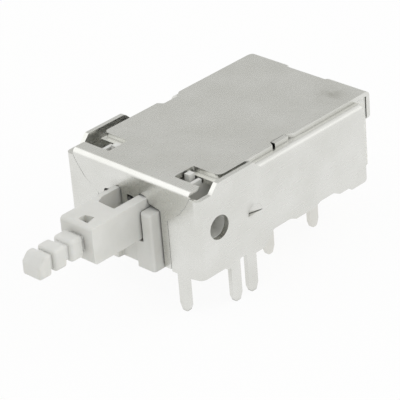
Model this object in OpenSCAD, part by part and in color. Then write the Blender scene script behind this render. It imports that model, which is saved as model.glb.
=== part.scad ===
// Latching mains pushbutton switch for a circuit board.
// +X right, -Y front (the plunger's side), +Z up. The origin is on the board's surface,
// on the centre line, below the front plate's outer face. Lengths are in millimetres.

/* [Shell] */
// Width over the frame's two side walls
body_w = 14.5; // [13.8:0.1:16]
// Height of the cover's top above the board
shell_h = 7.75; // [7.45:0.05:8.4]
// Thickness of the cover's and the frame's sheet
sheet_t = 0.4; // [0.3:0.05:0.5]
// Length of the frame's side walls
frame_len = 19.6; // [19.4:0.1:22]
// Outer radius of the frame's top bends
frame_bend_r = 0.75; // [0.45:0.05:0.8]
// Outer radius of the bends at the frame's front corners
corner_bend_r = 0.5; // [0.5:0.05:0.7]
// Distance of the cover's edges from the side walls' outer faces
cover_side = 0.9; // [0.9:0.05:1.1]
// Cover's length behind the frame's rear edge
cover_tail = 1.8; // [1.6:0.1:2.4]
// Outer radius of the cover's bends
cover_bend_r = 0.45; // [0.45:0.05:0.6]
// Gap between neighbouring sheet edges that butt
sheet_gap = 0.04; // [0.03:0.01:0.12]

/* [Front flanges] */
// Distance of a front flange's inner edge from the centre line
flange_in = 3.85; // [3.7:0.05:4.1]
// Distance of the top end of a front flange's inner edge below the cover's top
flange_step = 3.15; // [2.8:0.05:3.4]
// Distance of a front flange's top below the cover's top
flange_drop = 0.6; // [0.45:0.05:0.7]

/* [Ears, notches and tabs] */
// Height of an ear above the cover's top
ear_rise = 0.15; // [0.1:0.05:0.4]
// Distance of an ear's front end behind the front plate
ear_from = 2.3; // [2:0.1:2.5]
// Length of an ear
ear_len = 4.1; // [3.6:0.1:4.3]
// Distance of the corner notches' inner ends from the centre line
notch_in = 3.6; // [3.4:0.1:4]
// Distance of the corner notches' front edge behind the front plate
notch_from = 1.35; // [1.2:0.05:1.6]
// Length of the corner notches
notch_len = 2.15; // [1.8:0.05:2.4]
// Distance of the edge notches behind the front plate
edge_notch_from = 9.6; // [9:0.1:10.5]
// Length of the edge notches
edge_notch_len = 2.6; // [2.4:0.1:3]
// Depth of the edge notches
edge_notch_deep = 0.5; // [0.3:0.05:0.6]
// Distance of the rear tabs from the centre line
tab_in = 2.4; // [2:0.1:3]
// Height of the rear tabs' lower ends
tab_z = 5.05; // [4:0.05:6]
// Radius of the cover's left rear corner in plan
rear_corner_r = 0.9; // [0.5:0.1:1.2]
// Length of the window in the left top bend, under the edge notch
window_len = 1.8; // [1.5:0.1:2]
// Setback of the cover's rear edge between its tabs
tail_setback = 0.55; // [0.3:0.05:0.6]

/* [Side wall] */
// Diameter of the round hole in each side wall
hole_d = 2.05; // [1.8:0.05:2.2]
// Distance of that hole behind the front plate
hole_y = 2.2; // [2:0.05:2.4]
// Height of that hole
hole_z = 4.1; // [4:0.05:4.15]
// Radius of the half-round tab lanced from each side wall
lance_r = 0.8; // [0.7:0.05:1]
// Distance of the half-round behind the front plate
lance_y = 6.25; // [6.15:0.05:6.6]
// Height of the half-round's straight edge
lance_z = 3.5; // [3.4:0.05:3.9]
// Angle that the half-round is bent inwards about its rear end
lance_angle = 16; // [10:1:20]

/* [Solder legs and terminals] */
// Length of the legs and terminals below the board's upper surface
leg_len = 3.2; // [2.8:0.05:4]
// Width of a frame leg
leg_w = 1.05; // [0.8:0.05:1.1]
// Distances of the two side legs behind the front plate
side_leg_y1 = 3.65; // [3.4:0.05:3.8]
side_leg_y2 = 5.5; // [5.4:0.05:5.8]
// Distance of the front leg from the centre line
front_leg_x = 4.95; // [4.8:0.05:5.2]
// Distance of the common terminals behind the front plate
common_y = 10.3; // [10.1:0.1:10.6]
// Distance between the common and the switched terminals
term_pitch = 5.45; // [5:0.05:5.6]
// Width of a terminal's blade
blade_w = 1; // [0.8:0.05:1.2]
// Thickness of a terminal's blade
blade_t = 0.4; // [0.3:0.05:0.5]

/* [Housing] */
// Clearance between the housing and the sheet round it
house_clear = 0.05; // [0.03:0.01:0.08]
// Thickness of the housing's side walls
house_wall = 0.8; // [0.7:0.05:0.9]
// Thickness of the housing's ceiling
ceiling_t = 0.7; // [0.4:0.05:0.7]
// Height of the housing's lower edge
house_z = 1.05; // [0.95:0.05:1.1]
// Thickness of the housing's front wall
front_wall_t = 1.05; // [0.9:0.05:1.1]
// Length of the nose in front of the front plate
nose_len = 1; // [0.6:0.05:1.2]
// Half width of the nose
nose_half = 2.95; // [2.85:0.05:3]
// Distance of the nose's posts' tops below the plunger's top
post_drop = 0.8; // [0.6:0.05:1.2]
// Thickness of the bottom plate
plate_t = 0.8; // [0.6:0.05:0.9]
// Height of the bottom plate's underside
plate_z = 0.55; // [0.45:0.05:0.6]

/* [Plunger] */
// Width of the plunger in front
plunger_w = 3.5; // [3.3:0.05:3.6]
// Distance of the plunger's top below the housing's ceiling
plunger_drop = 0.35; // [0.3:0.05:0.5]
// Height of the plunger itself
plunger_h = 3.2; // [3:0.05:3.25]
// Distance of the plunger's block in front of the front plate
block_out = 6; // [5.5:0.1:7]
// Length of the ringed tip in front of the block
tip_len = 4.95; // [4.5:0.05:6]
// Width of the tip's collars
tip_w = 2; // [1.8:0.05:2.2]
// Height of the tip's collars
tip_h = 1.85; // [1.7:0.05:2]
// Width of the channel between the plunger's arms
channel_w = 2.15; // [2.05:0.05:2.2]
// Distance of the channel's front end in front of the front plate
channel_out = 2.7; // [2.65:0.05:3.2]
// Depth of the channel
channel_deep = 1.7; // [1.6:0.05:1.75]
// Full travel of the plunger
travel = 2.3; // [2:0.1:2.3]
// Clearance of the plunger beside the nose's posts
slide_clear = 0.1; // [0.05:0.01:0.15]
// Clearance beside the plunger's wings
wing_clear = 0.3; // [0.2:0.05:0.4]
// Length of the wings along the travel
wing_len = 2.6; // [2.2:0.1:2.6]
// Diameter of the plunger's tail inside the return spring
tail_d = 1.3; // [1.1:0.05:1.5]
// Length of the tail
tail_len = 4.6; // [3:0.1:5.5]

/* [Springs] */
// Mean diameter of the return spring
return_d = 2.1; // [1.9:0.05:2.4]
// Wire diameter of the return spring
return_wire = 0.3; // [0.25:0.01:0.35]
// Number of turns of the return spring
return_turns = 10; // [7:1:12]
// Mean diameter of a pusher spring
pusher_spring_d = 1; // [0.9:0.05:1.05]
// Wire diameter of a pusher spring
pusher_wire = 0.15; // [0.12:0.01:0.18]
// Number of turns of a pusher spring
pusher_turns = 4; // [4:1:5]

/* [Contacts] */
// Thickness of the rockers
rocker_t = 0.25; // [0.2:0.01:0.27]
// Width of the rockers
rocker_w = 2.2; // [1.8:0.1:2.4]
// Angle that a rocker turns when the plunger is pressed
rocker_angle = 11; // [8:0.5:11.5]
// Diameter of the contacts
contact_d = 1.6; // [1.4:0.1:1.7]
// Height of a contact
contact_h = 0.33; // [0.25:0.01:0.34]
// Diameter of the pushers
pusher_d = 1.4; // [1.2:0.05:1.45]

/* [Latch] */
// Diameter of the latch wire
latch_wire_d = 0.4; // [0.35:0.05:0.4]
// Distance of the latch wire's swing axis behind the front plate
latch_axis_y = 1.8; // [1.8:0.05:1.9]
// Distance of the latch wire's pin behind its swing axis
latch_arm = 3.8; // [3.7:0.05:3.8]
// Height of the latch wire above the channel's floor
latch_rise = 1.05; // [1:0.05:1.1]

/* [Hidden] */
$fn = 48;

steel = "#c9cac4";
nylon = "#dededa";
brass = "#c8a860";
silver = "#d8d8d8";
board = "#e8e4d8";

eps = 0.01;
half_w = body_w / 2;
cover_w = body_w - 2 * cover_side;
inner_half = half_w - sheet_t;
flange_step_z = shell_h - flange_step;
flange_top_z = shell_h - flange_drop;
cover_len = frame_len + cover_tail;
cover_z = shell_h - sheet_t;
web_z = cover_z - sheet_t;
ear_z = shell_h + ear_rise;
ear_to = ear_from + ear_len;
ear_front_run = 0.7;
ear_rear_run = 1.4;
bend_from = ear_to + ear_rear_run / 2;
web_from = 3;
web_front_half = cover_w / 2 - 0.1;
leg_root_z = 1;
blade_len = leg_len - 0.2;
window_to = edge_notch_from + edge_notch_len - 0.1;
leg_arch_z = 0.37;
wall_z = cover_z - frame_bend_r;

// Housing
house_half = inner_half - house_clear;
house_from = sheet_t + house_clear;
front_wall_to = house_from + front_wall_t;
house_to = frame_len - house_clear;
house_top = web_z - house_clear;
ceiling_z = house_top - ceiling_t;
cavity_half = house_half - house_wall;
rocker_clear = 0.4;
term_x = cavity_half - rocker_w / 2 - rocker_clear;
wing_half = cavity_half - wing_clear;
corner_block_to = 4.7;
cavity_to = house_to - 0.95;
tail_half = cover_w / 2 - 0.1;
tail_to = cover_len - sheet_t - house_clear;
spring_seat_y = tail_to - 0.85;
tail_cavity_half = 4.8;
corner_cut_in = 5;
rim_in = 4.65;
rim_to = 2.9;
corner_cut_to = 3.9;
corner_cut_z = hole_z + hole_d / 2 + 0.3;
recess_deep = 3.6;
foot_z = 0.25;
arch_z = 1.15;
mid_foot_z = 0.83;
rear_foot_z = 0.69;
heel_z = 0.4;
plunger_top = ceiling_z - plunger_drop;
plunger_z = plunger_top - plunger_h;
post_z = plunger_top - post_drop;
nose_z = 0;
keel_t = 0.14;
shoulder_z = plunger_z - keel_t - 0.06;
opening_half = nose_half + 0.15;
front_clear = 0.17;
post_in = plunger_w / 2 + slide_clear;

// Plunger
plunger_mid = plunger_z + plunger_h / 2;
channel_z = plunger_top - channel_deep;
latch_z = channel_z + latch_rise;
neck_to = front_wall_to + 0.15;
track_half = 1.6;
channel_shift = -0.225;
channel_left = channel_shift - channel_w / 2;
channel_right = channel_shift + channel_w / 2;
tongue_clear = 0.2;
tongue_z = channel_z + 0.35;
latch_x = -0.2;
latch_angle = 9;
wide_half = 2.4;
passage_half = wide_half + slide_clear;
channel_to = latch_axis_y + latch_arm + latch_wire_d / 2 + 0.45;
wing_to = common_y - travel / 2 + wing_len / 2;
wing_from = wing_to - wing_len;
wing_top = ceiling_z - 0.2;
bore_top = wing_top - 0.35;
pusher_y = common_y - travel / 2;

leaf_t = 0.15;
leaf_clear = 0.05;

// Contacts, from the bottom plate up
plate_top = plate_z + plate_t;
pad_t = 0.3;
pad_top = plate_top + pad_t;
switched_y = common_y + term_pitch;
contact_gap = 0.03;
pivot_r = 0.25;
cradle_r = pivot_r + 0.05;
pivot_z = pad_top + 2 * contact_h + contact_gap - cradle_r;
pad_w = 2.2;
pad_len = 1.8;
blade_clear = 0.05;
rivet_d = 0.7;
rivet_head_d = 1.1;
rivet_head_h = 0.2;
rocker_front = 2.9;
rocker_rear = term_pitch + contact_d / 2 + 0.15;
pusher_gap = 0.12;
pusher_z = pivot_z + cradle_r + rocker_t + pusher_gap;
wing_z = pusher_z + (bore_top - pusher_z) / 4;
pusher_len = (bore_top - pusher_z) * 0.68;
pusher_clear = 0.05;
spring_clear = 0.02;

// Corners of an outline as [x, y, radius]; a radius of 0 leaves a corner sharp
function turn(a) = a > 180 ? a - 360 : a < -180 ? a + 360 : a;
function heading(v) = atan2(v[1], v[0]);
function round_corner(a, p, b, r, n) =
    r == 0 ? [p] :
    let (u = (a - p) / norm(a - p), v = (b - p) / norm(b - p),
         half = abs(turn(heading(v) - heading(u))) / 2,
         c = p + (u + v) / norm(u + v) * r / sin(half),
         s = heading(p + u * r / tan(half) - c),
         sweep = turn(heading(p + v * r / tan(half) - c) - s))
    [for (k = [0:n]) c + r * [cos(s + sweep * k / n), sin(s + sweep * k / n)]];
function rounded(corners, n = 5) = [
    for (i = [0:len(corners) - 1])
        let (a = corners[(i + len(corners) - 1) % len(corners)], p = corners[i],
             b = corners[(i + 1) % len(corners)])
        each round_corner([a[0], a[1]], [p[0], p[1]], [b[0], b[1]], p[2], n)
];

// A box between two opposite corners
module block(from, to) {
    translate(from) cube(to - from);
}

// An outline drawn in Y and Z, made w wide along X from x
module across(x, w) {
    translate([x, 0, 0]) rotate([90, 0, 90]) linear_extrude(w) children();
}

// An outline drawn in X and Z, made d deep along Y from y
module along(y, d) {
    translate([0, y + d, 0]) rotate([90, 0, 0]) linear_extrude(d) children();
}

module mirrored() {
    children();
    mirror([1, 0, 0]) children();
}

// Section of a folded strip: a flat run with a leg dropping from its outer corner at [0, 0]
module fold_section(run, drop, r) {
    translate([r, -sheet_t]) square([run - r, sheet_t]);
    if (drop > r)
        translate([0, -drop]) square([sheet_t, drop - r]);
    translate([r, -r]) intersection() {
        difference() {
            circle(r);
            circle(r - sheet_t);
        }
        translate([-r, 0]) square(r);
    }
}

// Outline of a solder leg that hangs from height z, with a tapered tip
module leg_outline(x, z) {
    polygon(rounded([
        [x - leg_w / 2, z, 0], [x - leg_w / 2, -leg_len + 0.6, 0.2], [x - leg_w / 4, -leg_len, 0.15],
        [x + leg_w / 4, -leg_len, 0.15], [x + leg_w / 2, -leg_len + 0.6, 0.2], [x + leg_w / 2, z, 0],
    ]));
}

// The cover: top, front plate and two rear tabs, folded from one sheet
module cover_plan() {
    edge = cover_w / 2;
    polygon(rounded([
        [edge, -eps, 0], [edge, notch_from, 0.15], [notch_in, notch_from, 0.15],
        [notch_in, notch_from + notch_len, 0.15], [edge, notch_from + notch_len, 0.5],
        [edge, edge_notch_from, 0], [edge - edge_notch_deep, edge_notch_from + 0.3, 0.1],
        [edge - edge_notch_deep, edge_notch_from + edge_notch_len - 0.8, 0.1],
        [edge, edge_notch_from + edge_notch_len, 0.1], [edge, cover_len + eps, 0],
        [tab_in, cover_len + eps, 0], [tab_in - 0.3, cover_len - tail_setback, 0.1],
        [0, cover_len - tail_setback, 0], [0, -eps, 0],
    ]));
}

// Half of the front plate's outline; its lower corner leaves room for the frame's flange
module front_plate_half() {
    gap = sheet_gap;
    edge = cover_w / 2;
    polygon(rounded([
        [0, shell_h + eps, 0], [edge, shell_h + eps, 0], [edge, flange_top_z, 0.1],
        [edge - 0.35 - gap, flange_top_z - 0.65, 0.3], [flange_in + 1.4 - gap, flange_step_z + 0.95, 0.3],
        [flange_in - gap, flange_step_z - gap, 0.2], [flange_in - gap, 0.15, 0.1],
        [opening_half, 0.15, 0.1], [opening_half, post_z + front_clear, 0.25],
        [plunger_w / 2 + front_clear, post_z + 2 * front_clear, 0.1],
        [plunger_w / 2 + front_clear, plunger_top + front_clear, 0.7],
        [0, plunger_top + front_clear, 0],
    ]));
}

// Tongue that hangs into the plunger's channel, with the hole for the latch wire's end
module tongue() {
    root = plunger_top + front_clear;
    r = latch_wire_d / 2 + 0.1;
    swing = (latch_axis_y - sheet_t / 2) * sin(latch_angle);
    difference() {
        polygon(rounded([
            [channel_left + tongue_clear - 0.35, root + eps, 0], [channel_left + tongue_clear, root - 0.35, 0.3],
            [channel_left + tongue_clear, tongue_z, 0.2], [channel_right - tongue_clear, tongue_z, 0.2],
            [channel_right - tongue_clear, root - 0.35, 0.3], [channel_right - tongue_clear + 0.35, root + eps, 0],
        ]));
        polygon(rounded([
            [latch_x - r, latch_z - r, 0.1], [latch_x + swing + r, latch_z - r, 0.28],
            [latch_x + swing + r, latch_z + r, 0.28], [latch_x - r, latch_z + r, 0.1],
        ]));
    }
}

module rear_corner() {
    r = rear_corner_r;
    translate([-cover_w / 2, cover_len]) difference() {
        translate([-eps, -r]) square([r + eps, r + eps]);
        translate([r, -r]) circle(r);
    }
}

module top_cover() {
    color(steel) difference() {
        folded_cover();
        linear_extrude(shell_h + 1) rear_corner();
    }
}

module folded_cover() {
    intersection() {
        union() {
            across(-cover_w / 2, cover_w) {
                translate([0, shell_h]) fold_section(cover_len / 2, shell_h, cover_bend_r);
                translate([cover_len, shell_h]) mirror([1, 0])
                    fold_section(cover_len / 2, shell_h - tab_z, cover_bend_r);
            }
        }
        mirrored() linear_extrude(shell_h + 1) cover_plan();
        union() {
            mirrored() along(-eps, sheet_t + 2 * eps) front_plate_half();
            along(-eps, sheet_t + 2 * eps) tongue();
            block([-half_w, sheet_t, web_z], [half_w, cover_len + 1, shell_h + 1]);
            mirrored() along(cover_len - 2 * sheet_t, 3 * sheet_t) polygon(rounded([
                [tab_in, web_z + eps, 0], [tab_in, tab_z - eps, 0.3],
                [cover_w / 2 + eps, tab_z - eps, 0.6], [cover_w / 2 + eps, web_z + eps, 0],
            ]));
        }
    }
}

// Outline of a side wall in Y and Z: ear, foot of the top bend, lower edge arched at the terminals
module wall_outline() {
    polygon(rounded([
        [0, foot_z, 0], [side_leg_y1 - leg_w / 2 - 0.6, foot_z, 0.2],
        [side_leg_y1 - leg_w / 2 - 0.35, 0, 0.1], [side_leg_y1 + leg_w / 2, 0, 0],
        [side_leg_y1 + leg_w / 2, leg_arch_z, 0.15], [side_leg_y2 - leg_w / 2, leg_arch_z, 0.15],
        [side_leg_y2 - leg_w / 2, 0, 0], [side_leg_y2 + leg_w / 2 + 1.2, 0, 0.3],
        [common_y - 2.1, arch_z, 0.3], [common_y - 0.1, arch_z, 0.4],
        [common_y + 0.6, mid_foot_z, 0.2], [switched_y - 2.5, mid_foot_z, 0.2],
        [switched_y - 1.9, arch_z - 0.05, 0.3], [switched_y - 0.3, arch_z - 0.05, 0.3],
        [switched_y + 0.5, rear_foot_z, 0.3], [switched_y + 1.6, rear_foot_z, 0.1],
        [switched_y + 1.95, heel_z, 0.2], [frame_len, heel_z, 0.3],
        [frame_len, wall_z, 0], [ear_to + ear_rear_run, wall_z, 0],
        [ear_to, ear_z, 0.4], [ear_from, ear_z, 0.2],
        [ear_from - ear_front_run, flange_top_z, 0.1], [0, flange_top_z, 0],
    ]));
}

// Outline of a front flange in X and Z
module flange_outline() {
    polygon(rounded([
        [half_w, foot_z, 0], [front_leg_x + leg_w / 2 + 0.3, 0, 0.2], [flange_in, 0, 0.1],
        [flange_in, flange_step_z, 0.2], [flange_in + 1.4, flange_step_z + 0.95, 0.3],
        [cover_w / 2 - 0.35, flange_top_z - 0.65, 0.3],
        [cover_w / 2 + sheet_gap, flange_top_z, 0.1], [half_w, flange_top_z, 0],
    ]));
}

// Plan of one side: the wall, the bend at the front corner and the flange
module side_plan() {
    r = corner_bend_r;
    translate([inner_half, r]) square([sheet_t, frame_len - r]);
    translate([flange_in, 0]) square([half_w - r - flange_in, sheet_t]);
    translate([half_w - r, r]) intersection() {
        difference() {
            circle(r);
            circle(r - sheet_t);
        }
        translate([0, -r]) square(r);
    }
}

// The lanced half-round: the upper half of a circle
module lance_outline(r) {
    intersection() {
        translate([lance_y, lance_z]) circle(r);
        translate([lance_y - r, lance_z]) square([2 * r, r]);
    }
}

module frame_side(with_leg) {
    difference() {
        union() {
            translate([0, 0, -leg_len]) intersection() {
                linear_extrude(2 * shell_h + leg_len) side_plan();
                translate([0, 0, leg_len]) union() {
                    across(inner_half - eps, sheet_t + 2 * eps) wall_outline();
                    along(-eps, corner_bend_r + eps) flange_outline();
                }
            }
            across(inner_half, sheet_t) {
                leg_outline(side_leg_y1, leg_root_z);
                leg_outline(side_leg_y2, leg_root_z);
            }
            if (with_leg)
                along(0, sheet_t) leg_outline(front_leg_x, leg_root_z);
        }
        across(inner_half - sheet_t, 3 * sheet_t) {
            translate([hole_y, hole_z]) circle(hole_d / 2);
            lance_outline(lance_r);
        }
    }
    hinge = [half_w, lance_y + lance_r, 0];
    translate(hinge) rotate([0, 0, -lance_angle]) translate(-hinge) across(inner_half, sheet_t)
        intersection() {
            lance_outline(lance_r);
            translate([lance_y - lance_r, lance_z + sheet_gap]) square(2 * lance_r);
        }
}

// The frame: side walls, a web under the cover, front flanges, ears and solder legs
module frame() {
    color(steel) {
        frame_side(true);
        mirror([1, 0, 0]) frame_side(false);
        difference() {
            along(bend_from, frame_len - bend_from) mirrored()
                translate([half_w, cover_z]) mirror([1, 0]) fold_section(half_w, frame_bend_r, frame_bend_r);
            block([-half_w - 1, window_to - window_len, wall_z], [edge_notch_deep - cover_w / 2, window_to, shell_h]);
        }
        block([-web_front_half, web_from, web_z], [web_front_half, bend_from + 1, cover_z]);
        block(
            [cover_w / 2 - edge_notch_deep + sheet_gap, edge_notch_from + 0.35, web_z + sheet_t / 2],
            [cover_w / 2 - sheet_gap, edge_notch_from + edge_notch_len - 0.7, shell_h]);
    }
}

// The moulded housing: box, narrower tail, nose with two posts, and pips for the cover
module housing() {
    color(nylon) difference() {
        union() {
            along(house_from, house_to - house_from) mirrored() polygon(rounded([
                [0, house_z, 0], [house_half, house_z, 0.1],
                [house_half, house_top, frame_bend_r - sheet_t - house_clear], [0, house_top, 0],
            ]));
            block([-tail_half, house_to + 2 * house_clear, house_z], [tail_half, tail_to, cover_z - house_clear]);
            block([-tail_half, house_to - eps, house_z], [tail_half, house_to + 1, house_top]);
            mirrored() {
                linear_extrude(shoulder_z) polygon(rounded([
                    [-eps, house_from + eps, 0], [-eps, -nose_len * 0.45, 0],
                    [post_in - 0.8, -nose_len * 0.45, 0.1], [post_in - 0.8, -nose_len, 0.15],
                    [nose_half, -nose_len, 0.25], [nose_half, house_from + eps, 0],
                ]));
                intersection() {
                    translate([0, 0, nose_z]) linear_extrude(post_z - nose_z) polygon(rounded([
                        [post_in, house_from + eps, 0], [post_in, -nose_len, 0.2],
                        [nose_half, -nose_len, 0.25], [nose_half, house_from + eps, 0],
                    ]));
                    across(0, nose_half + eps) polygon(rounded([
                        [-nose_len - eps, nose_z, 0], [house_from + eps, nose_z, 0],
                        [house_from + eps, post_z, 0], [-nose_len, post_z, 0.3],
                    ]));
                }
                block([0, house_from, nose_z], [nose_half, front_wall_to, house_z + eps]);
                block([notch_in + 0.15, notch_from + 0.95, house_top - eps],
                      [notch_in + 0.7, rim_to, shell_h - 0.1]);
                block([rim_in, front_wall_to, house_top - eps], [corner_cut_in, rim_to, cover_z - house_clear]);
            }
        }
        // Working space, with corner blocks left at the front
        block([-cavity_half, corner_block_to, house_z - 1], [cavity_half, cavity_to, ceiling_z]);
        block([-tail_cavity_half, corner_block_to, plate_top], [tail_cavity_half, spring_seat_y, ceiling_z]);
        // Way for the plunger: through the front wall and between the corner blocks
        block([-post_in, -eps, shoulder_z], [post_in, corner_block_to, plunger_top + slide_clear]);
        block([-passage_half, front_wall_to, shoulder_z], [passage_half, corner_block_to + eps, ceiling_z]);
        mirrored() {
            block([corner_cut_in, house_from - eps, corner_cut_z], [half_w, corner_cut_to, shell_h]);
            translate([house_half - recess_deep, hole_y, hole_z]) rotate([0, 90, 0])
                cylinder(h = recess_deep + eps, d = hole_d);
            block([house_half - 0.6, lance_y - lance_r - 0.1, lance_z - 0.2],
                  [half_w, lance_y + lance_r, lance_z + lance_r + 0.2]);
        }
        translate([latch_x, latch_axis_y, ceiling_z - eps])
            cylinder(h = ceiling_t - 0.05, d = latch_wire_d + 2 * pusher_clear);
    }
}

// Flat plate that closes the housing from below and carries the terminals
module bottom_plate() {
    clear = 0.03;
    color(board) difference() {
        block([-cavity_half + clear, corner_block_to + clear, plate_z],
              [cavity_half - clear, cavity_to - clear, plate_top]);
        for (y = [common_y, switched_y]) mirrored()
            block([term_x - blade_t / 2 - blade_clear, y - blade_w / 2 - blade_clear, plate_z - 1],
                  [term_x + blade_t / 2 + blade_clear, y + blade_w / 2 + blade_clear, plate_top + 1]);
    }
}

// Blade and pad of a terminal at distance y behind the front plate
module terminal(y) {
    across(term_x - blade_t / 2, blade_t) polygon(rounded([
        [y - blade_w / 2, plate_top + pad_t / 2, 0], [y - blade_w / 2, -blade_len + 0.6, 0.2],
        [y - blade_w / 4, -blade_len, 0.15], [y + blade_w / 4, -blade_len, 0.15],
        [y + blade_w / 2, -blade_len + 0.6, 0.2], [y + blade_w / 2, plate_top + pad_t / 2, 0],
    ]));
    difference() {
        block([term_x - pad_w / 2, y - pad_len / 2, plate_top], [term_x + pad_w / 2, y + pad_len / 2, pad_top]);
        if (y == switched_y)
            translate([term_x, y, plate_top + pad_t / 2]) cylinder(h = 1, d = rivet_d);
    }
}

// Common terminal: its upright ends in the round edge that the rocker tilts on
module common_terminal() {
    upright_half = pad_w / 2 - 0.3;
    color(brass) {
        terminal(common_y);
        block([term_x - upright_half, common_y - pivot_r, pad_top - eps],
              [term_x + upright_half, common_y + pivot_r, pivot_z]);
        translate([term_x - upright_half, common_y, pivot_z]) rotate([0, 90, 0])
            cylinder(h = 2 * upright_half, r = pivot_r);
    }
}

module switched_terminal() {
    color(brass) terminal(switched_y);
}

// A contact with its shank downwards; the rim is chamfered
module contact_rivet(shank) {
    rotate_extrude() polygon([
        [0, -shank], [rivet_d / 2, -shank], [rivet_d / 2, 0], [contact_d / 2, 0],
        [contact_d / 2, contact_h - 0.1], [contact_d / 2 - 0.15, contact_h], [0, contact_h],
    ]);
}

module fixed_contact() {
    color(silver) translate([term_x, switched_y, pad_top]) contact_rivet(pad_t / 2);
}

// Turns what is drawn with the switch on into its place with the switch off
module rocker_place() {
    translate([term_x, common_y, pivot_z]) rotate([rocker_angle, 0, 0]) children();
}

// Rocker: a strip bent to a shallow vee that sits on the common terminal's edge
module rocker_arm() {
    a = rocker_angle;
    low = cradle_r;
    top = cradle_r + rocker_t;
    function kink(h) = h * tan(a / 2);
    function front(h, y) = [kink(h) - y * cos(a), h + y * sin(a)];
    color(brass) rocker_place() difference() {
        across(-rocker_w / 2, rocker_w) polygon([
            front(low, rocker_front), [kink(low), low], [rocker_rear, low],
            [rocker_rear, top], [kink(top), top], front(top, rocker_front),
        ]);
        translate([0, term_pitch, 0]) cylinder(h = 2, d = rivet_d);
    }
}

module moving_contact() {
    color(silver) rocker_place() translate([0, term_pitch, cradle_r]) {
        mirror([0, 0, 1]) contact_rivet(rocker_t);
        translate([0, 0, rocker_t]) cylinder(h = rivet_head_h, d = rivet_head_d);
    }
}

// Half of the tip's outline, with collars and necks; h is the half size, n the half size of a neck
module tip_half(h, n) {
    from = -block_out - tip_len;
    head = tip_len * 0.21;
    collar = tip_len * 0.25;
    neck = tip_len * 0.1;
    polygon([
        [0, from], [h - 0.35, from], [h, from + 0.35], [h, from + head], [n, from + head],
        [n, from + head + neck], [h, from + head + neck], [h, from + head + neck + collar],
        [n, from + head + neck + collar], [n, from + head + 2 * neck + collar],
        [h, from + head + 2 * neck + collar], [h, from + head + 2 * neck + 2 * collar],
        [n, from + head + 2 * neck + 2 * collar], [n, -block_out + 0.4], [0, -block_out + 0.4],
    ]);
}

// The heart-shaped island that the latch wire's pin runs round, from its tip at the rear
module heart() {
    y = channel_to - latch_wire_d / 2 - 0.45;
    w = track_half;
    polygon([
        [-0.06 * w, y - 0.825 * travel], [0.19 * w, y - 0.71 * travel], [0.375 * w, y - 0.825 * travel],
        [0.47 * w, y - 0.6 * travel], [0.19 * w, y - 0.25 * travel], [0, y - 0.6 * travel],
    ]);
}

module plunger() {
    color(nylon) {
        difference() {
            union() {
                intersection() {
                    translate([0, 0, plunger_mid]) linear_extrude(tip_h, center = true)
                        mirrored() tip_half(tip_w / 2, tip_w / 2 - 0.3);
                    translate([0, 0, plunger_mid]) rotate([0, 90, 0])
                        linear_extrude(tip_w, center = true) mirrored() tip_half(tip_h / 2, tip_h / 2 - 0.3);
                }
                across(-plunger_w / 2, plunger_w) polygon(rounded([
                    [-block_out, plunger_z, 0.3], [neck_to + eps, plunger_z, 0],
                    [neck_to + eps, plunger_top, 0], [-block_out, plunger_top, 0.3],
                ]));
                block([-plunger_w / 4, -channel_out - 1.55, plunger_z - keel_t],
                      [plunger_w / 4, neck_to, plunger_z + eps]);
                block([-wide_half, neck_to, plunger_z], [wide_half, wing_to, plunger_top]);
                block([-wing_half, wing_from, wing_z], [wing_half, wing_to, wing_top]);
                translate([0, wing_to - eps, plunger_mid]) rotate([-90, 0, 0])
                    cylinder(h = tail_len, d = tail_d);
            }
            translate([0, 0, channel_z]) linear_extrude(shell_h) polygon(rounded([
                [channel_right, -channel_out, 0.1], [channel_right, neck_to + eps, 0],
                [channel_left, neck_to + eps, 0], [channel_left, 0.8 - channel_out, 0.6],
                [channel_left + 0.3, 0.1 - channel_out, 0.1],
            ]));
            block([-track_half, neck_to, channel_z], [track_half, channel_to, shell_h]);
            translate([0.2, -block_out + 1, plunger_top - 0.6]) linear_extrude(1)
                polygon([[-0.5, -0.4], [0.6, -0.5], [0.35, 0.5], [-0.5, 0.3]]);
            mirrored() translate([term_x, pusher_y, wing_z - 1])
                cylinder(h = bore_top - wing_z + 1, d = pusher_d + 2 * pusher_clear);
        }
        translate([latch_x, 0, channel_z - eps]) linear_extrude(0.35) heart();
    }
}

// Pusher: a pin with a domed lower end, pressed down by a spring above it
module pusher() {
    r = pusher_d / 2;
    color(nylon) translate([term_x, pusher_y, pusher_z]) intersection() {
        cylinder(h = pusher_len, r = r);
        translate([0, 0, 2 * r]) sphere(2 * r);
    }
}

// Coil of n turns from 0 to len, one closed turn at each end
function coil(d, w, n, len, steps = 20) = [
    for (i = [0:steps * n])
        let (t = i / steps, u = min(max(t - 1, 0), n - 2) / (n - 2),
             ends = w * 1.02 * (min(t, 1) + max(t - n + 1, 0)),
             z = w / 2 + ends + u * (len - w - 2.04 * w))
        [cos(360 * t) * d / 2, sin(360 * t) * d / 2, z]
];
module coil_spring(d, w, n, len) {
    path = coil(d, w, n, len);
    sides = 8;
    last = len(path) - 1;
    points = [
        for (p = path) let (u = [p[0], p[1], 0] / norm([p[0], p[1]]))
            for (k = [0:sides - 1]) p + (u * cos(360 * k / sides) + [0, 0, sin(360 * k / sides)]) * w / 2
    ];
    faces = [
        [for (k = [0:sides - 1]) k],
        [for (k = [sides - 1:-1:0]) last * sides + k],
        for (i = [0:last - 1]) for (k = [0:sides - 1]) let (j = (k + 1) % sides)
            [i * sides + k, (i + 1) * sides + k, (i + 1) * sides + j, i * sides + j],
    ];
    polyhedron(points, faces, convexity = 10);
}

module pusher_spring() {
    from = pusher_z + pusher_len + spring_clear;
    color(silver) translate([term_x, pusher_y, from])
        coil_spring(pusher_spring_d, pusher_wire, pusher_turns, bore_top - spring_clear - from);
}

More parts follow.
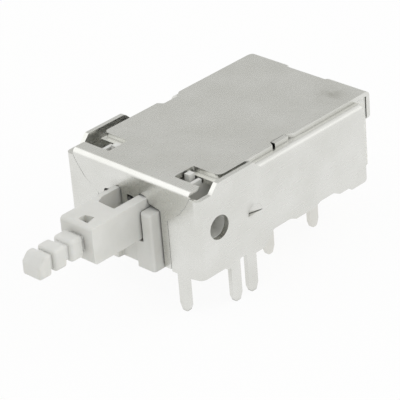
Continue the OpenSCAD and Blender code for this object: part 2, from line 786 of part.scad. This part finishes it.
module return_spring() {
    from = wing_to + spring_clear;
    color(silver) translate([0, from, plunger_mid]) rotate([-90, 0, 0])
        coil_spring(return_d, return_wire, return_turns, spring_seat_y - spring_clear - from);
}

// Latch wire: an upright leg that turns in the ceiling, a front end that shows in the tongue's
// hole, an arm, and a pin in the heart track
module latch_wire() {
    r = latch_wire_d / 2;
    tip = -0.05;
    color(steel) translate([latch_x, 0, 0]) {
        translate([0, latch_axis_y, latch_z]) {
            cylinder(h = ceiling_z + ceiling_t - 0.15 - latch_z, r = r);
            sphere(r);
            rotate([-90, 0, 0]) cylinder(h = latch_arm, r = r);
        }
        translate([0, tip, latch_z]) rotate([-90, 0, 0]) cylinder(h = latch_axis_y - tip, r = r);
        translate([0, latch_axis_y + latch_arm, latch_z]) sphere(r);
        translate([0, latch_axis_y + latch_arm, channel_z + 0.08])
            cylinder(h = latch_z - channel_z - 0.08, r = r);
    }
}

// Leaf that holds the latch wire down; it hangs from the ceiling
module latch_leaf() {
    t = leaf_t;
    from = latch_axis_y + latch_wire_d;
    to = latch_axis_y + 0.95 * latch_arm;
    foot = to - 0.16 * latch_arm;
    root = from + 0.24 * latch_arm;
    low = latch_z + latch_wire_d / 2 + leaf_clear;
    lift = (ceiling_z - low) / 4;
    color(steel) across(latch_x - channel_w / 8, channel_w / 4) polygon([
        [from, ceiling_z], [from, ceiling_z - t], [root, ceiling_z - t], [foot, low],
        [to, low + lift], [to, low + lift + t], [foot, low + t], [root + t, ceiling_z],
    ]);
}

top_cover();
frame();
housing();
bottom_plate();
common_terminal();  // common_terminal_right
mirror([1, 0, 0]) common_terminal();  // common_terminal_left
switched_terminal();  // switched_terminal_right
mirror([1, 0, 0]) switched_terminal();  // switched_terminal_left
fixed_contact();  // fixed_contact_right
mirror([1, 0, 0]) fixed_contact();  // fixed_contact_left
rocker_arm();  // rocker_arm_right
mirror([1, 0, 0]) rocker_arm();  // rocker_arm_left
moving_contact();  // moving_contact_right
mirror([1, 0, 0]) moving_contact();  // moving_contact_left
plunger();
return_spring();
pusher();  // pusher_right
mirror([1, 0, 0]) pusher();  // pusher_left
pusher_spring();  // pusher_spring_right
mirror([1, 0, 0]) pusher_spring();  // pusher_spring_left
latch_wire();
latch_leaf();
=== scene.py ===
import math

import bpy
from mathutils import Matrix, Vector


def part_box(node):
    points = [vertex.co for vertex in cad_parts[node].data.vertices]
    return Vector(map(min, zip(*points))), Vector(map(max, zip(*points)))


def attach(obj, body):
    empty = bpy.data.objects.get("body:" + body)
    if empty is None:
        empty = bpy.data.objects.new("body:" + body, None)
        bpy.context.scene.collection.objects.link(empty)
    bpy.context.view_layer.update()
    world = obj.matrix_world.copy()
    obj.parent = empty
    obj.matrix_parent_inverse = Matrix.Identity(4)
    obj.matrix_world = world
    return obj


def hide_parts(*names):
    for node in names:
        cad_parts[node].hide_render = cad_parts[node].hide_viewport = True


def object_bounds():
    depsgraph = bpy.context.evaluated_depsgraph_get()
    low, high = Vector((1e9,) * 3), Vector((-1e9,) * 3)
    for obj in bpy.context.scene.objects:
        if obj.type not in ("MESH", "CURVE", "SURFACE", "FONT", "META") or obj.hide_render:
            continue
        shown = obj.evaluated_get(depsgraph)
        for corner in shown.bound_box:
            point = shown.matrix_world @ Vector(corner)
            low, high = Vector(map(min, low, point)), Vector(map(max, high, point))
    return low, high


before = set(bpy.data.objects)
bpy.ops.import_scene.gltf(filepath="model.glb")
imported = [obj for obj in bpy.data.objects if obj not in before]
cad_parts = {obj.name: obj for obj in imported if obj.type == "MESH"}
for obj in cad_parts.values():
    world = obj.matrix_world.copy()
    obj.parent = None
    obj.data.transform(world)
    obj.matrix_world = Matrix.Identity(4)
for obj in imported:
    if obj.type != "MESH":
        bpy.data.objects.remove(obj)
cad_box = [list(corner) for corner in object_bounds()]
MM = 0.001

# Table top, daylight and camera.
# The switch stands on the tips of its solder legs on a white table, in plain soft daylight, so that
# tin plate and nylon keep their own pale tones. Places of lamps and camera are in metres.


def add_node(tree, kind, settings=None, links=None):
    """Adds a node, sets its properties and input values, and links sockets into its inputs."""
    node = tree.nodes.new(kind)
    for key, value in (settings or {}).items():
        if isinstance(key, str) and hasattr(node, key):
            setattr(node, key, value)
        else:
            node.inputs[key].default_value = value
    for key, socket in (links or {}).items():
        tree.links.new(socket, node.inputs[key])
    return node


def linear(hex_colour):
    """Linear RGBA of an sRGB hex colour."""
    channels = [int(hex_colour[i:i + 2], 16) / 255 for i in (1, 3, 5)]
    return [c / 12.92 if c <= 0.04045 else ((c + 0.055) / 1.055) ** 2.4 for c in channels] + [1]


def new_material(name):
    """A material with an empty node tree, and that tree."""
    material = bpy.data.materials.new(name)
    material.use_nodes = True
    material.node_tree.nodes.clear()
    return material, material.node_tree


scene = bpy.context.scene
scene.view_settings.view_transform = "Standard"

# Daylight: white where the camera or a reflection sees it, and a little dimmer as light.
world = bpy.data.worlds.new("daylight")
scene.world = world
world.use_nodes = True
sky = world.node_tree
sky.nodes.clear()
path = add_node(sky, "ShaderNodeLightPath")
direct = add_node(sky, "ShaderNodeMath", {"operation": "MAXIMUM"},
                  {0: path.outputs["Is Camera Ray"], 1: path.outputs["Is Glossy Ray"]})
seen = add_node(sky, "ShaderNodeMath", {"operation": "MAXIMUM"},
                {0: direct.outputs[0], 1: path.outputs["Is Transmission Ray"]})
soft = add_node(sky, "ShaderNodeBackground", {"Color": linear("#ffffff"), "Strength": 0.72})
white = add_node(sky, "ShaderNodeBackground", {"Color": linear("#ffffff"), "Strength": 1.0})
shown = add_node(sky, "ShaderNodeMixShader", {},
                 {0: seen.outputs[0], 1: soft.outputs[0], 2: white.outputs[0]})
add_node(sky, "ShaderNodeOutputWorld", {}, {"Surface": shown.outputs[0]})

table_z = cad_box[0][2]
bpy.ops.object.select_all(action="DESELECT")
bpy.ops.mesh.primitive_plane_add(size=3, location=(0, 0, table_z))
table = bpy.context.object
table.name = "table"
# White paper: matt. Seen directly it glows an almost even white, and the rest holds the shadow.
glow_share = 0.93
paper, tree = new_material("white_paper")
path = add_node(tree, "ShaderNodeLightPath")
matt = add_node(tree, "ShaderNodeBsdfDiffuse", {"Color": linear("#f4f4f2")})
glow = add_node(tree, "ShaderNodeEmission", {"Color": linear("#ffffff"), "Strength": 1.0})
direct = add_node(tree, "ShaderNodeMath", {"operation": "MAXIMUM"},
                  {0: path.outputs["Is Camera Ray"], 1: path.outputs["Is Glossy Ray"]})
part = add_node(tree, "ShaderNodeMath", {"operation": "MULTIPLY", 1: glow_share}, {0: direct.outputs[0]})
mixed = add_node(tree, "ShaderNodeMixShader", {},
                 {0: part.outputs[0], 1: matt.outputs[0], 2: glow.outputs[0]})
add_node(tree, "ShaderNodeOutputMaterial", {}, {"Surface": mixed.outputs[0]})
table.data.materials.append(paper)


def add_lamp(name, place, aim, size, watts, mirrored=True):
    """A square area lamp that faces aim; mirrored says whether metal reflects it."""
    bpy.ops.object.light_add(type="AREA", location=place)
    lamp = bpy.context.object
    lamp.name = name
    lamp.data.shape = "SQUARE"
    lamp.data.size = size
    lamp.data.energy = watts
    lamp.visible_glossy = mirrored
    lamp.rotation_euler = (Vector(aim) - Vector(place)).to_track_quat("-Z", "Y").to_euler()


switch_middle = (0, 0.008, 0.004)
add_lamp("fill_right", (0.32, 0.30, 0.15), switch_middle, 0.5, 1.0, mirrored=False)
add_lamp("edge_right", (0.22, 0.28, 0.29), switch_middle, 0.2, 0.04)
add_lamp("window_left", (-0.28, -0.22, 0.28), switch_middle, 0.7, 0.5)

# A grey card behind the switch, seen only in its reflections, keeps the lid darker than the walls.
bpy.ops.mesh.primitive_plane_add(size=0.5, location=(-0.32, 0.33, 0.25))
card = bpy.context.object
card.name = "grey_card"
card.rotation_euler = (Vector(switch_middle) - card.location).to_track_quat("Z", "Y").to_euler()
card.visible_camera = False
card.visible_shadow = False
card.visible_diffuse = False
card_paper, tree = new_material("grey_card_paper")
card_tone = add_node(tree, "ShaderNodeEmission", {"Color": linear("#d6d6d4"), "Strength": 1.0})
add_node(tree, "ShaderNodeOutputMaterial", {}, {"Surface": card_tone.outputs[0]})
card.data.materials.append(card_paper)

# The camera aims a little below the switch's middle, so that the switch lies high in the render.
azimuth = math.radians(45.866)
elevation = math.radians(28.925)
roll = math.radians(-4.851)
distance = 0.18396
middle = Vector((0, 8, 4.25)) * MM
shift_left = 0.231 * MM
shift_down = 2.416 * MM
back = Vector((math.sin(azimuth) * math.cos(elevation), -math.cos(azimuth) * math.cos(elevation),
               math.sin(elevation)))
level_right = (-back).cross(Vector((0, 0, 1))).normalized()
level_up = level_right.cross(-back)
right = level_right * math.cos(roll) + level_up * math.sin(roll)
up = -level_right * math.sin(roll) + level_up * math.cos(roll)
aim = middle - shift_left * right - shift_down * up
camera_data = bpy.data.cameras.new("camera")
camera_data.sensor_width = 36
camera_data.lens = 206.10
camera_data.clip_start = 0.01
camera = bpy.data.objects.new("camera", camera_data)
scene.collection.objects.link(camera)
turn = Matrix((right, up, back)).transposed().to_4x4()
camera.matrix_world = Matrix.Translation(aim + back * distance) @ turn
scene.camera = camera

# Case of tin-plated steel: top cover and frame.
# Two stampings folded from 0.4 mm strip: the cover is the lid with its front plate, and the frame
# has the walls, front flanges, ears and solder legs. The tin keeps off rust and takes solder.


def softened(node, name, width, rolled=None, roll=0.12, roll_slot=-1):
    """A copy of a CAD node, worked in millimetres, with its sharp edges rounded off by width.

    rolled picks, by the places of their two ends, the edges that first get a rounding as wide as
    roll, whose faces take the material slot roll_slot.
    """
    bpy.ops.object.select_all(action="DESELECT")
    piece = bpy.data.objects.new(name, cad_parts[node].data.copy())
    scene.collection.objects.link(piece)
    bpy.context.view_layer.objects.active = piece
    piece.select_set(True)
    piece.data.transform(Matrix.Scale(1 / MM, 4))
    bpy.ops.object.mode_set(mode="EDIT")
    bpy.ops.mesh.select_all(action="SELECT")
    bpy.ops.mesh.remove_doubles(threshold=0.0005)
    bpy.ops.mesh.dissolve_limited(angle_limit=math.radians(0.5))
    if rolled:
        bpy.ops.mesh.select_all(action="DESELECT")
        bpy.ops.mesh.select_mode(type="EDGE")
        bpy.ops.object.mode_set(mode="OBJECT")
        for edge in piece.data.edges:
            edge.select = rolled(*(piece.data.vertices[v].co for v in edge.vertices))
        bpy.ops.object.mode_set(mode="EDIT")
        bpy.ops.mesh.bevel(offset=roll, segments=4, affect="EDGES", clamp_overlap=True, material=roll_slot)
    bpy.ops.object.mode_set(mode="OBJECT")
    if piece.data.has_custom_normals:
        bpy.ops.mesh.customdata_custom_splitnormals_clear()
    rounding = piece.modifiers.new("rounded_edges", "BEVEL")
    rounding.width = width
    rounding.segments = 2
    rounding.limit_method = "ANGLE"
    rounding.angle_limit = math.radians(25)
    bpy.ops.object.modifier_apply(modifier=rounding.name)
    bpy.ops.object.shade_smooth_by_angle(angle=math.radians(35))
    flats = piece.modifiers.new("even_flats", "WEIGHTED_NORMAL")
    flats.keep_sharp = True
    flats.weight = 100
    bpy.ops.object.modifier_apply(modifier=flats.name)
    piece.data.transform(Matrix.Scale(MM, 4))
    return piece


def dress(piece, material, body, slot, *nodes):
    """Gives a finished piece its material, and says where it rides and what it stands for."""
    piece.data.materials.clear()
    piece.data.materials.append(material)
    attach(piece, body)
    if nodes:
        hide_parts(*nodes)


# Painted shade: the share below darkens a material's base colour in gaps and corners, where shade falls.
def painted_crevice_shade(tree, reach, floor, open_at=0.68):
    """Share of light left in gaps and corners, from floor in the narrowest up to 1 in the open.

    reach is in millimetres; open_at is the share of free sky from which a place counts as open.
    """
    free_sky = add_node(tree, "ShaderNodeAmbientOcclusion", {"samples": 8, "Distance": reach * MM})
    return add_node(tree, "ShaderNodeMapRange",
                    {"interpolation_type": "SMOOTHSTEP", "From Min": 0.14, "From Max": open_at,
                     "To Min": floor},
                    {"Value": free_sky.outputs["AO"]})


# Tin plate: a soft grey-white metal, rolled satin, with faint streaks along the strip, clouds of
# tone 3 mm across, and three darker patches: a painted reflection, a painted shade and a plain
# darker patch. The streaks lie 0.1 mm apart, which is coarser than real ones, so that they show.
streaks_per_mm = 9
clouds_per_mm = 0.33
# Middle and half size of each patch in mm, its strength and its colour: a painted dark reflection
# of the plunger's channel on the front plate over the plunger, painted shade on the right wall's
# lance, and a darker patch near the lid's rear right corner.
painted_shade_and_dark_patches = (((-0.8, 0, 5.9), (2.6, 3, 1.1), 0.3, "#94938a"),
         ((7.25, 5.75, 3.95), (0.6, 0.75, 0.85), 0.6, "#8f8e87"),
         ((4.2, 19, 7.7), (2.6, 2.4, 3), 0.3, "#a2a197"))
tin_plate, tree = new_material("tin_plated_steel")
coords = add_node(tree, "ShaderNodeTexCoord")
along = add_node(tree, "ShaderNodeMapping",
                 {"Scale": (streaks_per_mm / MM, 0.1 * streaks_per_mm / MM, streaks_per_mm / MM)},
                 {"Vector": coords.outputs["Object"]})
streak = add_node(tree, "ShaderNodeTexNoise", {"Scale": 1.0, "Detail": 3.0, "Roughness": 0.6},
                  {"Vector": along.outputs[0]})
cloud = add_node(tree, "ShaderNodeTexNoise", {"Scale": clouds_per_mm / MM, "Detail": 3.0},
                 {"Vector": coords.outputs["Object"]})
tone = add_node(tree, "ShaderNodeValToRGB", {}, {"Fac": cloud.outputs["Fac"]})
tone.color_ramp.elements[0].position = 0.3
tone.color_ramp.elements[0].color = linear("#dadad5")
tone.color_ramp.elements[1].position = 0.7
tone.color_ramp.elements[1].color = linear("#e2e2de")
patched_tone = tone.outputs["Color"]
# Each patch darkens the tone towards its colour: the first two are painted reflection and painted shade.
for centre, reach, strength, colour in painted_shade_and_dark_patches:
    place = add_node(tree, "ShaderNodeMapping",
                     {"Location": [-c / r for c, r in zip(centre, reach)],
                      "Scale": [1 / r / MM for r in reach]},
                     {"Vector": coords.outputs["Object"]})
    blot = add_node(tree, "ShaderNodeTexGradient", {"gradient_type": "QUADRATIC_SPHERE"},
                    {"Vector": place.outputs[0]})
    frayed = add_node(tree, "ShaderNodeTexNoise", {"Scale": 0.7 / MM, "Detail": 4.0, "Roughness": 0.65},
                      {"Vector": coords.outputs["Object"]})
    patchy = add_node(tree, "ShaderNodeMapRange", {"From Min": 0.35, "From Max": 0.6},
                      {"Value": frayed.outputs["Fac"]})
    weight = add_node(tree, "ShaderNodeMath", {"operation": "MULTIPLY"},
                      {0: blot.outputs["Fac"], 1: patchy.outputs[0]})
    scaled = add_node(tree, "ShaderNodeMath",
                      {"operation": "MULTIPLY", 1: 2.2 * strength, "use_clamp": True}, {0: weight.outputs[0]})
    mix = add_node(tree, "ShaderNodeMix", {"data_type": "RGBA", 7: linear(colour)},
                   {0: scaled.outputs[0], 6: patched_tone})
    patched_tone = mix.outputs[2]
# Painted shade: in gaps, slots and corners the tin's colour is darkened towards #1c1b18, where shade falls.
crevice_shade = painted_crevice_shade(tree, 0.5, 0.08)
shaded = add_node(tree, "ShaderNodeMix", {"data_type": "RGBA", 6: linear("#1c1b18")},
                  {0: crevice_shade.outputs[0], 7: patched_tone})
rough = add_node(tree, "ShaderNodeMapRange", {"To Min": 0.24, "To Max": 0.32},
                 {"Value": streak.outputs["Fac"]})
grain = add_node(tree, "ShaderNodeBump", {"Strength": 0.12, "Distance": 0.01 * MM},
                 {"Height": streak.outputs["Fac"]})
metal = add_node(tree, "ShaderNodeBsdfPrincipled", {"Metallic": 1.0},
                 {"Base Color": shaded.outputs[2], "Roughness": rough.outputs[0], "Normal": grain.outputs[0]})
add_node(tree, "ShaderNodeOutputMaterial", {}, {"Surface": metal.outputs[0]})

# Painted highlight: a lighter tin tone on the lid's sheared and rounded side edges, for the bright line they
# catch from the light.
painted_highlight_tin, tree = new_material("painted_highlight_tin_edge")
coords = add_node(tree, "ShaderNodeTexCoord")
cloud = add_node(tree, "ShaderNodeTexNoise", {"Scale": 1.5 / MM, "Detail": 3.0},
                 {"Vector": coords.outputs["Object"]})
tone = add_node(tree, "ShaderNodeValToRGB", {}, {"Fac": cloud.outputs["Fac"]})
tone.color_ramp.elements[0].position = 0.3
tone.color_ramp.elements[0].color = linear("#e6e6e2")
tone.color_ramp.elements[1].position = 0.6
tone.color_ramp.elements[1].color = linear("#f6f6f3")
metal = add_node(tree, "ShaderNodeBsdfPrincipled", {"Metallic": 1.0, "Roughness": 0.3},
                 {"Base Color": tone.outputs["Color"]})
add_node(tree, "ShaderNodeOutputMaterial", {}, {"Surface": metal.outputs[0]})

# Sizes in mm: rounding of the stamped edges, the lid's right side and top, and where the corner
# notches end.
case_edge = 0.02
lid_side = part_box("top_cover")[1].x / MM
lid_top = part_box("top_cover")[1].z / MM
notch_rear = 3.4


def lid_side_edge(a, b):
    """True for the lid's upper side edges, behind its corner notches."""
    return all(abs(abs(end.x) - lid_side) < 0.02 and abs(end.z - lid_top) < 0.02 and end.y > notch_rear
               for end in (a, b))


cover = softened("top_cover", "cover_plate", case_edge, rolled=lid_side_edge, roll_slot=1)
dress(cover, tin_plate, "shell", "tinned_steel", "top_cover")
cover.data.materials.append(painted_highlight_tin)
case_frame = softened("frame", "case_frame", case_edge)
dress(case_frame, tin_plate, "shell", "tinned_steel", "frame")

# Tin that closes the slanted seams between the lid's front plate and the frame's flanges.
# A narrow band of it fills the seam on the right and on the left, a little under the sheets' surface.
# seam_line gives x and z in mm of the right seam's points, from its upper end.
seam_line = ((6.35, 7.15), (6.0, 6.5), (5.25, 5.55), (4.1, 4.77))
seam_sink = 0.03
seam_thickness = 0.2
seam_across = Vector((0.22, 0, -0.21))
seam = [Vector((x, seam_sink + seam_thickness / 2, z)) for x, z in seam_line]
for side, word in ((1, "right"), (-1, "left")):
    bpy.ops.object.select_all(action="DESELECT")
    bpy.ops.mesh.primitive_plane_add(size=1, location=seam[0] - seam_across / 2)
    tin = bpy.context.object
    tin.name = "seam_tin_" + word
    bpy.ops.object.transform_apply(location=True, rotation=False, scale=False)
    bpy.ops.object.mode_set(mode="EDIT")
    bpy.ops.mesh.select_mode(type="VERT")
    bpy.ops.mesh.select_all(action="SELECT")
    bpy.ops.mesh.merge(type="CENTER")
    for start, end in zip(seam, seam[1:]):
        bpy.ops.mesh.extrude_region_move(TRANSFORM_OT_translate={"value": end - start})
    bpy.ops.mesh.select_all(action="SELECT")
    bpy.ops.mesh.extrude_region_move(TRANSFORM_OT_translate={"value": seam_across})
    bpy.ops.object.mode_set(mode="OBJECT")
    thick = tin.modifiers.new("thickness", "SOLIDIFY")
    thick.thickness = seam_thickness
    thick.offset = 0
    bpy.ops.object.modifier_apply(modifier=thick.name)
    tin.data.transform(Matrix.Diagonal((side * MM, MM, MM, 1)))
    bpy.ops.object.mode_set(mode="EDIT")
    bpy.ops.mesh.select_all(action="SELECT")
    bpy.ops.mesh.normals_make_consistent(inside=False)
    bpy.ops.object.mode_set(mode="OBJECT")
    dress(tin, tin_plate, "shell", "tinned_steel")

# Housing, and the plunger's block, of white nylon.
# Both are injection moulded: the nose of the housing guides the plunger between two posts. The
# plunger's own tip is cut off here, because the next section makes a rounder one.

# Natural nylon: milky white, matt to satin, a little translucent at its edges. Its clouds of tone
# are 2.4 mm across, and its grit is drawn 0.1 mm coarse so that it shows.
nylon, tree = new_material("moulded_nylon")
coords = add_node(tree, "ShaderNodeTexCoord")
cloud = add_node(tree, "ShaderNodeTexNoise", {"Scale": 0.42 / MM, "Detail": 4.0},
                 {"Vector": coords.outputs["Object"]})
tone = add_node(tree, "ShaderNodeValToRGB", {}, {"Fac": cloud.outputs["Fac"]})
tone.color_ramp.elements[0].position = 0.3
tone.color_ramp.elements[0].color = linear("#dadad5")
tone.color_ramp.elements[1].position = 0.7
tone.color_ramp.elements[1].color = linear("#e4e4e0")
grit = add_node(tree, "ShaderNodeTexNoise", {"Scale": 9 / MM, "Detail": 2.0},
                {"Vector": coords.outputs["Object"]})
grain = add_node(tree, "ShaderNodeBump", {"Strength": 0.1, "Distance": 0.01 * MM},
                 {"Height": grit.outputs["Fac"]})
# Painted shade: in gaps and corners the nylon's colour is darkened towards #2b2a26, where shade falls.
crevice_shade = painted_crevice_shade(tree, 0.5, 0.45, open_at=0.5)
shaded = add_node(tree, "ShaderNodeMix", {"data_type": "RGBA", 6: linear("#2b2a26")},
                  {0: crevice_shade.outputs[0], 7: tone.outputs["Color"]})
plastic = add_node(tree, "ShaderNodeBsdfPrincipled",
                   {"Roughness": 0.45, "IOR": 1.53, "Subsurface Weight": 0.15, "Subsurface Scale": 0.6 * MM,
                    "Subsurface Radius": (1.0, 0.9, 0.8)},
                   {"Base Color": shaded.outputs[2], "Normal": grain.outputs[0]})
add_node(tree, "ShaderNodeOutputMaterial", {}, {"Surface": plastic.outputs[0]})

housing = softened("housing", "switch_housing", 0.08)
dress(housing, nylon, "shell", "white_nylon", "housing")

tip_length = 4.93
tip_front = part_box("plunger")[0].y / MM
tip_root = tip_front + tip_length
block = softened("plunger", "plunger_block", 0.12)
bpy.ops.object.mode_set(mode="EDIT")
bpy.ops.mesh.select_all(action="SELECT")
bpy.ops.mesh.bisect(plane_co=(0, tip_root * MM, 0), plane_no=(0, 1, 0), use_fill=True, clear_inner=True,
                    threshold=1e-7)
bpy.ops.object.mode_set(mode="OBJECT")
dress(block, nylon, "plunger", "white_nylon", "plunger")

# Ringed tip of the plunger: three well rounded collars on a square core.
# It is moulded in one with the plunger's block; its upper front edge slopes, so that a cap slides on.
tip_middle_z = 4.25
head_slope = 0.62
collar = (2.0, 1.85)
core = (1.35, 1.25)
# Word, start and end in mm in front of the block, width and height, and rounding of the edges.
rings = (("core", -0.1, 4.4, core, 0.1), ("root", 0.25, 1.6, collar, 0.3),
         ("middle", 2.0, 3.3, collar, 0.3), ("head", 3.62, tip_length, collar, 0.24))
parts = []
for word, start, end, (wide, high), rounding in rings:
    bpy.ops.object.select_all(action="DESELECT")
    bpy.ops.mesh.primitive_cube_add(size=1, location=(0, tip_root - (start + end) / 2, tip_middle_z),
                                    scale=(wide, end - start, high))
    ring = bpy.context.object
    ring.name = "tip_" + word
    bpy.ops.object.transform_apply(location=True, rotation=False, scale=True)
    if word == "head":
        bpy.ops.object.mode_set(mode="EDIT")
        bpy.ops.mesh.select_all(action="DESELECT")
        bpy.ops.mesh.select_mode(type="EDGE")
        bpy.ops.object.mode_set(mode="OBJECT")
        for edge in ring.data.edges:
            ends = [ring.data.vertices[v].co for v in edge.vertices]
            edge.select = all(e.y < tip_front + 0.1 and e.z > tip_middle_z for e in ends)
        bpy.ops.object.mode_set(mode="EDIT")
        bpy.ops.mesh.bevel(offset=head_slope, segments=1, affect="EDGES")
        bpy.ops.object.mode_set(mode="OBJECT")
    soft_edges = ring.modifiers.new("rounded_edges", "BEVEL")
    soft_edges.width = rounding
    soft_edges.segments = 5
    soft_edges.limit_method = "ANGLE"
    soft_edges.angle_limit = math.radians(25)
    bpy.ops.object.modifier_apply(modifier=soft_edges.name)
    parts.append(ring)
bpy.ops.object.select_all(action="DESELECT")
for ring in parts:
    ring.select_set(True)
tip = parts[-1]
bpy.context.view_layer.objects.active = tip
bpy.ops.object.join()
tip.name = "plunger_ringed_tip"
bpy.ops.object.shade_smooth_by_angle(angle=math.radians(35))
tip.data.transform(Matrix.Scale(MM, 4))
dress(tip, nylon, "plunger", "white_nylon")

# Works inside: terminals, rockers, contacts, springs, latch and base.
# Terminals and rockers are stamped from copper alloy, the contacts are silver rivets, and springs
# and latch wire are drawn steel. They keep the shapes of the CAD and get a finish only.


def plain_finish(name, dark, pale, specks_per_mm, roughness, metallic):
    """A finish whose tone varies a little between dark and pale, for the pieces inside."""
    material, tree = new_material(name)
    coords = add_node(tree, "ShaderNodeTexCoord")
    cloud = add_node(tree, "ShaderNodeTexNoise", {"Scale": specks_per_mm / MM, "Detail": 3.0},
                     {"Vector": coords.outputs["Object"]})
    tone = add_node(tree, "ShaderNodeValToRGB", {}, {"Fac": cloud.outputs["Fac"]})
    tone.color_ramp.elements[0].color = linear(dark)
    tone.color_ramp.elements[1].color = linear(pale)
    shader = add_node(tree, "ShaderNodeBsdfPrincipled", {"Roughness": roughness, "Metallic": metallic},
                      {"Base Color": tone.outputs["Color"]})
    add_node(tree, "ShaderNodeOutputMaterial", {}, {"Surface": shader.outputs[0]})
    return material


# Each finish goes on the nodes whose name holds its word, and the first word that fits counts:
# dull silver-white tinned terminals, brassy rolled rockers, whiter silver contacts, mid-grey
# spring wire, a darker bent wire and leaf for the latch, and a matt tan board below.
finishes = {
    "terminal": plain_finish("tinned_copper_alloy", "#dad9d3", "#e4e3de", 0.9, 0.4, 1.0),
    "rocker": plain_finish("rolled_copper_alloy", "#b08a4c", "#caa566", 0.9, 0.35, 1.0),
    "contact": plain_finish("silver_contact", "#c9c9c6", "#e0e0dd", 0.9, 0.3, 1.0),
    "spring": plain_finish("drawn_spring_wire", "#8a8b8c", "#a9aaab", 1.5, 0.35, 1.0),
    "latch": plain_finish("bent_steel_wire", "#77787a", "#97989a", 1.5, 0.35, 1.0),
    "bottom": plain_finish("laminate_board", "#c9b98f", "#d8caa4", 1.5, 0.7, 0.0),
    "pusher": nylon,
}
for node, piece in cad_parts.items():
    for word, finish in finishes.items():
        if word in node:
            piece.data.materials.clear()
            piece.data.materials.append(finish)
            break
